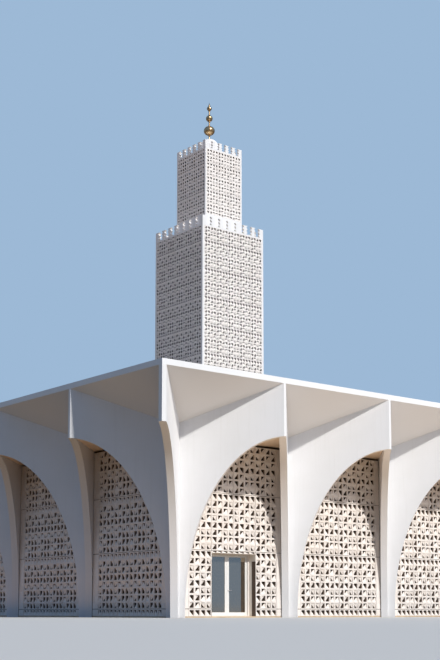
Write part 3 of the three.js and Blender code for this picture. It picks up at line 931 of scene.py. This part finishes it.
@dataclass(frozen=True)
class BlockField:
    """A field of pierced blocks, each with a rim, and a slanted facet beside a triangular hole."""

    columns: int
    rows: int
    # Courses under the first joint between panels
    lowest_rows: int
    width: float
    height: float
    depth: float
    rim: float
    facet_depth: float
    chamfer: float = 0.003
    facet_rise: float = 0.012
    joint: float = 0.003
    panel_joint: float = 0.012
    panel_columns: int = 4
    panel_rows: int = 8

    @property
    def size(self) -> tuple[float, float]:
        """The field's width and height."""
        return self.columns * self.width, self.rows * self.height

    @property
    def seams(self) -> list[float]:
        """Heights of the joints between panels, over the field's foot."""
        return [row * self.height for row in range(self.lowest_rows, self.rows, self.panel_rows)]

    def block(self) -> Shell:
        """One block centred on its middle, with its hole to the upper right.

        Rings of four corners, from the outer rim to the hole, are joined by quads.

        Returns:
            Its closed surface, as across, depth and up.
        """
        half = ((self.width - self.joint) / 2, (self.height - self.joint) / 2)
        rim, cut = self.rim, self.chamfer

        def ring(shrink: float, depth: float) -> Points:
            """Four corners at a distance inside the rim, at a depth."""
            flat = CORNERS * (half[0] - shrink, half[1] - shrink)
            return np.column_stack([flat[:, 0], np.full(4, depth), flat[:, 1]])

        facet = ring(rim, self.facet_depth)
        facet[0, 1] = self.facet_rise
        points = np.concatenate([
            ring(0, cut), ring(cut, 0), ring(rim, 0), facet, ring(rim, self.depth), ring(0, self.depth),
        ])

        def band(first: int, second: int, which: Sequence[int] = (0, 1, 2, 3)) -> Faces:
            """Quads between two rings, on the given edges."""
            here, ahead = np.array(which), (np.array(which) + 1) % 4
            return np.stack([first + here, first + ahead, second + ahead, second + here], axis=1)

        quads = np.concatenate([
            band(0, 4), band(4, 8), band(8, 12, (0, 3)), band(16, 20, (1, 2)), band(20, 0),
            [[13, 10, 18, 17], [15, 19, 18, 10], [13, 17, 19, 15], [17, 21, 23, 19]],
        ])
        tris = np.array([[12, 13, 15], [9, 10, 13], [10, 11, 15], [20, 23, 21]])
        return Shell(points, quads, tris)

    def edges(self, count: int, pitch: float, panel: int, first: int) -> tuple[Points, Points]:
        """Middles and lengths of the blocks along one direction, shortened where two panels meet.

        Args:
            count: how many blocks.
            pitch: from block to block.
            panel: blocks in a panel.
            first: blocks before the first joint of panels.

        Returns:
            The middles, and the lengths as shares of a whole block.
        """
        number = np.arange(count)
        opens = (((number - first) % panel) == 0) & (number > 0)
        closes = np.append(opens[1:], False)
        trim = (self.panel_joint - self.joint) / 2
        low = number * pitch + self.joint / 2 + opens * trim
        high = (number + 1) * pitch - self.joint / 2 - closes * trim
        return (low + high) / 2, (high - low) / (pitch - self.joint)

    def shell(self, doorway: Doorway | None = None) -> Shell:
        """The whole field, from its lower left corner.

        Args:
            doorway: the blocks that a doorway takes the place of.

        Returns:
            The blocks' surfaces, as across, depth and up.
        """
        across, wide = self.edges(self.columns, self.width, self.panel_columns, self.panel_columns)
        up, tall = self.edges(self.rows, self.height, self.panel_rows, self.lowest_rows)
        column, row = (grid.ravel() for grid in np.meshgrid(np.arange(self.columns), np.arange(self.rows)))
        middle = np.stack([across[column], np.zeros(len(column)), up[row]], axis=1)
        share = np.stack([wide[column], np.ones(len(column)), tall[row]], axis=1)
        if doorway:
            inside = (column >= doorway.first) & (column < doorway.end)
            cut = inside & (row == doorway.rows - 1)
            middle[cut, 2] += (self.height - doorway.lintel) / 2
            share[cut, 2] = (doorway.lintel - self.joint) / (self.height - self.joint)
            kept = ~inside | (row >= doorway.rows - 1)
            column, row, middle, share = column[kept], row[kept], middle[kept], share[kept]
        signs = np.array([[corner.value for corner in course] for course in MOTIF])
        share[:, ::2] *= signs[(row - self.lowest_rows) % self.panel_rows, column % self.panel_columns]
        block = self.block()
        points = block.points[None] * share[:, None] + middle[:, None]
        starts = (np.arange(len(column)) * len(block.points))[:, None, None]
        return Shell(points.reshape(-1, 3), (block.quads[None] + starts).reshape(-1, 4),
                     (block.tris[None] + starts).reshape(-1, 3))


HALL_FIELD = BlockField(columns=16, rows=24, lowest_rows=1, width=0.301, height=0.305, depth=0.09, rim=0.038,
                        facet_depth=0.06, chamfer=0.004, panel_joint=0.02)
DOORWAY = Doorway()


@dataclass(frozen=True)
class PiercedScreen:
    """A screen in one bay: the block field, plain margins beside it, and a dark sheet behind it that is
    painted shade.
    """

    side: Side
    niche: int
    field: BlockField = HALL_FIELD
    chamfer: float = 0.006
    side_joint: float = 0.024
    glass_setback: float = 0.094
    glass_thickness: float = 0.01

    @property
    def has_door(self) -> bool:
        """Whether the doorway is in this bay."""
        return self.side.name == "front" and self.niche == 1

    @property
    def middle(self) -> float:
        """The bay's middle along the side."""
        return self.niche * self.side.bay

    def blocks(self) -> Shell:
        """The block field in its place, without blocks where the doorway is.

        Returns:
            The blocks.
        """
        shell = self.field.shell(DOORWAY if self.has_door else None)
        shell.points += (self.middle - self.field.size[0] / 2, self.side.inset, FLOOR_TOP + GAP)
        return shell

    def margins(self) -> list[Shell]:
        """Plain slabs beside the field, one for each height of panels, whose ends follow the plates.

        Returns:
            The slabs, two for each height.
        """
        gap = self.field.panel_joint / 2
        seams = np.array(self.field.seams)
        lows = FLOOR_TOP + np.concatenate([[GAP], seams + GAP + gap])
        highs = FLOOR_TOP + np.concatenate([seams - gap, [self.field.size[1]]])
        front = self.side.inset
        back = front + self.field.depth
        reach = [self.side.half - self.side.clear(v) - self.side_joint for v in (front, back)]
        start = self.field.size[0] / 2 + gap
        outline = np.array([(start, front), (reach[0], front), (reach[1], back), (start, back)])
        return [slab(plan + (self.middle, 0), low, high, self.chamfer) for low, high in zip(lows, highs)
                for plan in (outline, (outline * (-1, 1))[::-1])]

    def glass(self) -> Shell:
        """The dark sheet behind the blocks, painted shade in place of the dark inside, in three parts where
        the doorway is.

        Returns:
            The sheet.
        """
        front = self.side.inset + self.glass_setback
        foot, top = FLOOR_TOP + GAP, FLOOR_TOP + self.field.size[1]
        reach = self.side.half - self.side.clear(front)
        parts = [(-reach, reach, foot)]
        if self.has_door:
            edge = self.field.width * (DOORWAY.end - DOORWAY.first) / 2 + CLEARANCE
            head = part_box("door_frame")[1][2] + CLEARANCE
            parts = [(-reach, -edge, foot), (edge, reach, foot), (-edge, edge, head)]
        spans = [(self.middle + left, self.middle + right, low) for left, right, low in parts]
        return slabs(spans, front, front + self.glass_thickness, top, FINE_CHAMFER)

    def dress(self) -> None:
        """Makes the screen and its dark sheet of painted shade."""
        name = f"screen_{self.side.name}_{self.niche}"
        solids = [f"{name}_{part}" for part in ("left", "right", "over")] if self.has_door else [name]
        screen = joined([self.blocks(), *self.margins()])
        piece(f"{name}.blocks", self.side.plan.place(screen), HALL_BLOCK, stands_for=solids,
              depth_of=lambda points: self.side.plan.inwards(points) - self.side.inset)
        piece(f"{name}.glass", self.side.plan.place(self.glass()), PAINTED_SHADE_SHEET)


@dataclass(frozen=True)
class Entrance:
    """The double door in its deep portal: linings, glazing beads, gaskets, and levers on the right leaf."""

    lining: float = 0.005
    setback: float = 0.435
    bronze_depth: float = 0.25
    # The dark linings end a course and a joint below the head
    bronze_drop: float = 0.31
    portal_start: float = 0.106
    portal_depth: float = 0.565
    portal_width: float = 0.2
    portal_chamfer: float = 0.003
    bead_width: float = 0.014
    bead_depth: float = 0.012
    gasket: float = 0.004
    gasket_depth: float = 0.003
    crown: float = 0.001
    crown_steps: int = 6
    lever_radius: float = 0.009
    lever_bend: float = 0.02
    lever_length: float = 0.181
    lever_stand: float = 0.055
    rose_radius: float = 0.026
    rose_depth: float = 0.01
    # Shares of the rose's radius and depth, from the leaf outwards
    rose_profile: tuple[tuple[float, float], ...] = ((1, 0), (1, 0.6), (0.9, 1), (0.5, 1))
    neck_share: float = 0.5
    round_sides: int = 20
    bend_steps: int = 8
    dome_steps: int = 6
    dome_tip: float = 0.0001

    @property
    def opening(self) -> tuple[float, float, float, float]:
        """The opening's left and right edges, its head, and the depth of the screen's face."""
        low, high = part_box("door_frame")
        return low[0], high[0], high[2], low[1] - self.setback

    def portal(self) -> Shell:
        """The walls behind the screen that hold the frame: a slab at each side of the opening and one over.

        Returns:
            The slabs.
        """
        left, right, head, face = self.opening
        foot, width = FLOOR_TOP + GAP, self.portal_width
        spans = ((left - GAP - width, left - GAP, foot), (right + GAP, right + GAP + width, foot),
                 (left, right, head + GAP))
        front, back = face + self.portal_start, face + self.portal_depth
        return slabs(spans, front, back, head + width, self.portal_chamfer)

    def bronze(self) -> Shell:
        """The dark linings: a thin slab up each side of the opening, a course lower than its head.

        Returns:
            The slabs.
        """
        left, right, head, face = self.opening
        foot = FLOOR_TOP + GAP
        spans = ((left, left + self.lining, foot), (right - self.lining, right, foot))
        return slabs(spans, face, face + self.bronze_depth, head - self.bronze_drop - GAP, FINE_CHAMFER)

    def reveal(self, start: float, stop: float, foot: float) -> Shell:
        """A lining of the opening: a strip's profile carried up one side, over the head and down the other.

        Args:
            start: how far behind the screen's face it begins.
            stop: how far behind the face it ends.
            foot: the height of its lower ends.

        Returns:
            The closed strip.
        """
        left, right, head, face = self.opening
        strip = []
        for x, y in ((0, start), (0, stop), (self.lining, stop), (self.lining, start)):
            strip.append([(left + x, face + y, foot), (left + x, face + y, head - x),
                          (right - x, face + y, head - x), (right - x, face + y, foot)])
        return swept(np.array(strip, float).swapaxes(0, 1))

    def border(self, low: Plan, high: Plan, front: float, back: float, width: float) -> Shell:
        """A strip round a rectangle: a face bowed by half a sine wave, carried round four mitred corners.

        Args:
            low: lower left corner of the outer edge, as x and z.
            high: upper right corner of the outer edge.
            front: y of the strip's edge away from the pane.
            back: y of its edge at the pane.
            width: how wide it is.

        Returns:
            The closed ring.
        """
        share = np.linspace(0, 1, self.crown_steps)
        across = np.concatenate([[0.0], share, [1.0]]) * width
        bowed = front - np.sign(back - front) * self.crown * np.sin(np.pi * share)
        lift = np.concatenate([[back], bowed, [back]])
        flat = box_plan(low, high)[:, None] - CORNERS[:, None] * across[None, :, None]
        return swept(np.stack([flat[..., 0], np.broadcast_to(lift, flat.shape[:2]), flat[..., 1]], axis=-1),
                     closed=True)

    def trim(self, leaf: str) -> tuple[Shell, Shell]:
        """Beads and gaskets on both faces of a leaf's pane.

        Args:
            leaf: left or right.

        Returns:
            The beads, and the gaskets.
        """
        low, high = (np.array(corner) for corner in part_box(f"door_pane_{leaf}"))
        seats = ((low[1] - GAP, -1), (high[1] + GAP, 1))
        strips = ((0.0, self.bead_width, self.bead_depth),
                  (self.bead_width + GAP, self.gasket, self.gasket_depth))
        beads, gaskets = (
            joined(self.border(low[::2] + edge, high[::2] - edge, seat + outward * depth, seat, width)
                   for seat, outward in seats)
            for edge, width, depth in strips
        )
        return beads, gaskets

    def handle(self, name: str) -> Shell:
        """A lever: a round section carried out from its rose, round a bend and along to a domed end.

        Args:
            name: the solid that it stands for.

        Returns:
            Its surface, with the rose as a stepped disc around the neck.
        """
        low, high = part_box(name)
        face, outward = (high[1], -1) if name.endswith("outer") else (low[1], 1)
        x, z = low[0] + self.rose_radius, (low[2] + high[2]) / 2
        angle = np.linspace(0, 2 * np.pi, self.round_sides, endpoint=False)

        def disc(radius: float, out: float) -> Points:
            """A circle round the neck at a distance out from the leaf."""
            return np.column_stack([x + radius * np.cos(angle), np.full(len(angle), face + outward * out),
                                    z + radius * np.sin(angle)])

        bend, stand = self.lever_bend, self.lever_stand
        rose = swept(np.stack([disc(self.rose_radius * wide, self.rose_depth * deep)
                               for wide, deep in self.rose_profile]))
        turn = np.linspace(0, np.pi / 2, self.bend_steps)
        dome = np.linspace(0, np.pi / 2, self.dome_steps)
        neck = self.rose_depth * self.neck_share
        away = np.concatenate([[neck], stand - bend + bend * np.sin(turn), np.full(len(dome), stand)])
        ends = self.lever_length - self.lever_radius + self.lever_radius * np.sin(dome)
        right = np.concatenate([[0.0], bend - bend * np.cos(turn), ends])
        lean = np.concatenate([[0.0], turn, np.full(len(dome), np.pi / 2)])
        swell = np.concatenate([np.ones(1 + len(turn)), np.cos(dome)]) * self.lever_radius
        swell = np.maximum(swell, self.dome_tip)
        side = np.cos(angle)[None] * swell[:, None]
        rings = np.stack([
            x + right[:, None] + side * np.cos(lean)[:, None],
            face + outward * (away[:, None] - side * np.sin(lean)[:, None]),
            z + np.sin(angle)[None] * swell[:, None],
        ], axis=-1)
        return joined([rose, swept(rings)])

    def dress(self) -> None:
        """Makes the portal, the linings, the trim of the panes and the levers."""
        piece("door_portal", self.portal(), WHITE_PAINT)
        piece("door_reveal", self.bronze(), BRONZE_ENAMEL)
        head = self.opening[2]
        piece("door_reveal_head", self.reveal(0.0, self.bronze_depth, head - self.bronze_drop), FRAME_ENAMEL)
        inner = self.reveal(self.bronze_depth + GAP, self.setback - CLEARANCE, FLOOR_TOP + GAP)
        piece("door_reveal_inner", inner, FRAME_ENAMEL)
        for leaf, body in (("left", Body.LEFT_LEAF), ("right", Body.RIGHT_LEAF)):
            beads, gaskets = self.trim(leaf)
            piece(f"door_beads_{leaf}", beads, DOOR_ENAMEL, body, smooth_degrees=30)
            piece(f"door_gaskets_{leaf}", gaskets, BRONZE_ENAMEL, body, smooth_degrees=30)
        for name in ("door_handle_outer", "door_handle_inner"):
            piece(f"{name}.lever", self.handle(name), SATIN_STEEL, Body.RIGHT_LEAF, [name], smooth_degrees=50)


@dataclass(frozen=True)
class MinaretStage:
    """One stage: pierced blocks on four faces between plain corner posts, round a dark core of painted shade.
    """

    name: str
    side: float
    low: float
    high: float
    field: BlockField
    core_setback: float = 0.084
    core_thickness: float = 0.02
    chamfer: float = 0.006

    @property
    def post(self) -> float:
        """Width of the plain corner posts."""
        return (self.side - self.field.size[0]) / 2

    @property
    def foot(self) -> float:
        """Height of the lowest course's underside."""
        return self.high - self.field.size[1]

    def depth(self, points: Points) -> Points:
        """How far points lie inside the stage's square outline."""
        return self.side / 2 - np.abs(points[:, :2] - (MINARET_X, MINARET_Y)).max(axis=1)

    def round_about(self, shells: Sequence[Shell], faces: Iterable[int] = range(4)) -> Shell:
        """Shells of one face, from its left corner, set on several faces.

        Args:
            shells: the shells.
            faces: which faces, from the front counterclockwise.

        Returns:
            All of them.
        """
        half = self.side / 2
        plans = [PlanFrame(MINARET_X + CORNERS[turns][0] * half, MINARET_Y + CORNERS[turns][1] * half, turns)
                 for turns in faces]
        return joined(plan.place(shell) for plan in plans for shell in shells)

    def plain(self) -> Shell:
        """The corner posts, in lengths that meet at the panels' joints, and the slabs under the blocks.

        Returns:
            The posts and slabs.
        """
        width = self.post - self.field.joint
        seams = self.foot + np.array(self.field.seams)
        gap = self.field.joint / 2
        lows = np.concatenate([[self.low], seams + gap])
        highs = np.concatenate([seams - gap, [self.high]])
        plan = box_plan((0.0, 0.0), (width, width))
        shells = [slab(plan, low, high, self.chamfer) for low, high in zip(lows, highs)]
        plinth = box_plan((self.post, 0.0), (self.side - self.post, self.field.depth))
        shells.append(slab(plinth, self.low, self.foot - self.field.joint, self.chamfer))
        return self.round_about(shells)

    def core(self) -> Shell:
        """The dark sheet behind the blocks, painted shade in place of the dark inside, as a square tube.

        Returns:
            The tube.
        """
        outer = self.side / 2 - self.core_setback
        inner = outer - self.core_thickness
        profile = [(outer, self.low), (outer, self.high), (inner, self.high), (inner, self.low)]
        rings = np.array([[(x * half, y * half, z) for half, z in profile] for x, y in CORNERS], float)
        rings[..., :2] += (MINARET_X, MINARET_Y)
        return swept(rings, closed=True)

    def dress(self) -> None:
        """Makes the stage: two faces to a piece, the posts, and the core."""
        blocks = self.field.shell()
        blocks.points += (self.post, 0.0, self.foot)
        for number, pair in enumerate(((0, 1), (2, 3)), 1):
            piece(f"{self.name}.blocks_{number}", self.round_about([blocks], pair), MINARET_BLOCK,
                  stands_for=[self.name], depth_of=self.depth)
        piece(f"{self.name}.posts", self.plain(), WHITE_PAINT)
        piece(f"{self.name}.core", self.core(), PAINTED_SHADE_SHEET)


MINARET_STAGES = (
    MinaretStage("minaret_lower_stage", side=5.47, low=0.0, high=26.5597, field=BlockField(
        columns=20, rows=107, lowest_rows=7, width=0.258, height=0.24635, depth=0.08, rim=0.04,
        facet_depth=0.05)),
    MinaretStage("minaret_upper_stage", side=3.32, low=26.6603, high=32.6497, field=BlockField(
        columns=12, rows=19, lowest_rows=7, width=0.258, height=0.24955, depth=0.08, rim=0.05,
        facet_depth=0.05)),
)


@dataclass(frozen=True)
class Finial:
    """The gilt finial: three balls on a rod, each between narrow collars, turned round the minaret's axis.

    Each ball is given as the height of its middle, its radius and half its height.
    """

    balls: tuple[tuple[float, float, float], ...] = (
        (34.84, 0.4, 0.34), (35.775, 0.245, 0.235), (36.53, 0.175, 0.175),
    )
    # Radius and rise of each step of the foot
    foot: tuple[tuple[float, float], ...] = (
        (0.0, 0.0), (0.16, 0.0), (0.16, 0.015), (0.1152, 0.035), (0.054, 0.055),
    )
    rod: float = 0.045
    tip: float = 36.98
    # Half a collar's height, and its bulge and its distance from the ball as shares of that
    collar: float = 0.0495
    bulge: float = 0.45
    spacing: float = 1.1
    collar_steps: int = 9
    ball_steps: int = 33
    segments: int = 64

    def profile(self) -> Plan:
        """Radius and height from the foot to the tip: ball arcs, collar arcs, and the rod between.

        A ball's arc is its radius times the sine, and half its height times the cosine, of equal angles.

        Returns:
            The profile's points.
        """
        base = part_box("minaret_finial")[0][2]
        points = [(radius, base + rise) for radius, rise in self.foot]
        half_turn = np.linspace(0, np.pi, self.collar_steps)
        out = self.rod + self.collar * self.bulge * np.sin(half_turn)
        rise = self.collar * (self.spacing + np.cos(half_turn))
        for height, radius, half in self.balls:
            start = math.asin(self.rod / radius)
            reach = half * math.cos(start)
            arc = np.linspace(start, np.pi - start, self.ball_steps)
            points += zip(out, height - reach - rise)
            points += zip(radius * np.sin(arc), height - half * np.cos(arc))
            if height + reach + rise.max() < self.tip:
                points += zip(out[::-1], height + reach + rise[::-1])
        return np.array([*points, (0.0, self.tip)])

    def dress(self) -> None:
        """Makes the finial: x and y are the profile's radius times the cosine and sine of the angle."""
        radius, height = self.profile().T
        angle = np.linspace(0, 2 * np.pi, self.segments, endpoint=False)
        x = MINARET_X + radius[:, None] * np.cos(angle)
        y = MINARET_Y + radius[:, None] * np.sin(angle)
        turned = swept(np.stack([x, y, np.broadcast_to(height[:, None], x.shape)], axis=-1))
        piece("minaret_finial.turned", turned, GILT_COPPER, stands_for=["minaret_finial"], smooth_degrees=40)


SOLID_FINISHES = {
    "floor_slab": FLOOR_CONCRETE,
    "ceiling_slab": CEILING_PAINTED_BOUNCE,
    "roof_deck": ROOF_GRAVEL,
    "minaret_gallery": WHITE_PAINT,
    "minaret_cap": WHITE_PAINT,
    "door_frame": FRAME_ENAMEL,
    "door_leaf_left": DOOR_ENAMEL,
    "door_leaf_right": DOOR_ENAMEL,
    "door_pane_left": DOOR_GLAZING,
    "door_pane_right": DOOR_GLAZING,
} | {f"eaves_{side.name}": SOFFIT_PAINT for side in SIDES}


def finish_solids() -> None:
    """Gives each solid that stays visible its finish."""
    for name, finish in SOLID_FINISHES.items():
        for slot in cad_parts[name].material_slots:
            slot.material = finish.material()
        log.info("%s: %s", name, finish.name)


# Studio


def show(name: str, data: bpy.types.ID, place: Sequence[float] = (0, 0, 0),
         turn: Sequence[float] = (0, 0)) -> bpy.types.Object:
    """Puts a light, a camera or a mesh into the scene.

    Args:
        name: its name.
        data: what it shows.
        place: where it is.
        turn: its turns round x and z, in degrees.

    Returns:
        The object.
    """
    made = bpy.data.objects.new(name, data)
    made.location = place
    made.rotation_euler = (math.radians(turn[0]), 0.0, math.radians(turn[1]))
    bpy.context.scene.collection.objects.link(made)
    return made


@dataclass(frozen=True)
class Light:
    """A soft light: distant, or a rectangular panel where it has a size; its angles are in degrees."""

    name: str
    colour: str
    power: float
    turn: tuple[float, float]
    spread: float = 120.0
    place: tuple[float, float, float] = (0.0, 0.0, 0.0)
    size: tuple[float, float] | None = None
    mirrored: bool = False

    def hang(self) -> None:
        """Adds the light, hidden from the camera; only a mirrored light shows in gloss."""
        lamp = bpy.data.lights.new(self.name, "AREA" if self.size else "SUN")
        lamp.energy = self.power
        lamp.color = linear(self.colour)[:3]
        if self.size:
            lamp.shape = "RECTANGLE"
            lamp.size, lamp.size_y = self.size
            lamp.spread = math.radians(self.spread)
        else:
            lamp.angle = math.radians(self.spread)
        made = show(self.name, lamp, self.place, self.turn)
        made.visible_camera = False
        made.visible_glossy = self.mirrored


@dataclass(frozen=True)
class Studio:
    """The pale floor, the soft lights and fill, and the camera where the photograph was taken from."""

    floor_radius: float = 2500.0
    floor_drop: float = 0.002
    floor_sides: int = 128
    floor_colour: str = "#D8D6D1"
    floor_roughness: float = 0.9
    # The floor gives back less light than it shows, and warmer
    floor_bounce: str = "#776D5F"
    backdrop: str = "#9DB9D6"
    fill: str = "#9DC0F0"
    fill_strength: float = 0.41
    # The haze softens the roof edge's shadow, and the panels stand for light from the ground and the air
    lights: tuple[Light, ...] = (
        Light("key", "#FFFCF7", 2.9, (55.0, -2.0), 2.0, mirrored=True),
        Light("haze", "#F6F2F0", 0.85, (70.0, 30.0), 50.0),
        Light("front_bounce", "#FFF1E6", 1550.0, (180.0, 0.0), place=(9.0, -HALL_LENGTH / 2 - 9.0, 0.02),
              size=(40.0, 16.0)),
        Light("front_walk", "#FFE0C0", 110.0, (180.0, 0.0), place=(0.0, -HALL_LENGTH / 2 + 1.0, 0.07),
              size=(HALL_WIDTH, 2.0)),
        Light("left_walk", "#FFC68A", 48.0, (180.0, 0.0), place=(-HALL_WIDTH / 2 + 2.0, 0.0, 0.07),
              size=(1.2, HALL_LENGTH)),
        Light("tower_fill", "#FFDCC0", 1280.0, (34.0, -80.0), place=(-14.0, 12.0, 58.0), size=(16.0, 10.0)),
    )
    camera_place: tuple[float, float, float] = (-38.708, -49.234, 0.24)
    camera_heading: float = 0.6786
    camera_pitch: float = 0.1246
    focal_mm: float = 65.27
    sensor_mm: float = 36.0
    shift_up: float = 0.2
    far: float = 6000.0

    def floor(self) -> None:
        """Lays the floor just under the building: a disc so wide that its edge is the horizon."""
        angle = np.linspace(0, 2 * np.pi, self.floor_sides, endpoint=False)
        rim = np.column_stack([np.cos(angle), np.sin(angle), np.zeros_like(angle)]) * self.floor_radius
        mesh = bpy.data.meshes.new("studio_floor")
        mesh.from_pydata((rim - (0.0, 0.0, self.floor_drop)).tolist(), [], [tuple(range(self.floor_sides))])
        finish = bpy.data.materials.new("pale_floor")
        finish.use_nodes = True
        on = Wiring(finish.node_tree, finish.node_tree.nodes["Principled BSDF"])
        seen = on.add("ShaderNodeLightPath", {}).outputs["Is Camera Ray"]
        on.shade(on.blend(seen, self.floor_bounce, self.floor_colour), self.floor_roughness)
        mesh.materials.append(finish)
        show("studio_floor", mesh)

    def surround(self) -> None:
        """Sets the even fill, and the backdrop that only the camera sees."""
        world = bpy.data.worlds.new("studio")
        world.use_nodes = True
        bpy.context.scene.world = world
        nodes = world.node_tree.nodes
        on = Wiring(world.node_tree, nodes["Background"])
        on.feed(on.shader, {"Color": linear(self.fill), "Strength": self.fill_strength})
        seen = on.add("ShaderNodeBackground", {"Color": linear(self.backdrop), "Strength": 1.0})
        share = on.add("ShaderNodeLightPath", {}).outputs["Is Camera Ray"]
        mixed = on.add("ShaderNodeMixShader", {0: share, 1: on.shader.outputs[0], 2: seen.outputs[0]})
        on.feed(nodes["World Output"], {"Surface": mixed.outputs[0]})

    def camera(self) -> None:
        """Stands the camera where the photograph was taken from."""
        lens = bpy.data.cameras.new("camera")
        lens.lens = self.focal_mm
        lens.sensor_width = self.sensor_mm
        lens.shift_y = self.shift_up
        lens.clip_end = self.far
        turn = (90 + math.degrees(self.camera_pitch), -math.degrees(self.camera_heading))
        bpy.context.scene.camera = show("camera", lens, self.camera_place, turn)

    def set_up(self) -> None:
        """Sets up the floor, lights and camera, and shows colours as they are."""
        self.floor()
        for light in self.lights:
            light.hang()
        self.surround()
        self.camera()
        bpy.context.scene.view_settings.view_transform = "Standard"


def main() -> None:
    """Builds the pieces in order."""
    logging.basicConfig(level=logging.INFO, format="%(message)s")
    Studio().set_up()
    finish_solids()
    for side in SIDES:
        Arcade(side).dress()
        for niche in range(1, BAYS):
            PiercedScreen(side, niche).dress()
    Entrance().dress()
    for stage in MINARET_STAGES:
        stage.dress()
    Finial().dress()


if __name__ == "__main__":
    main()
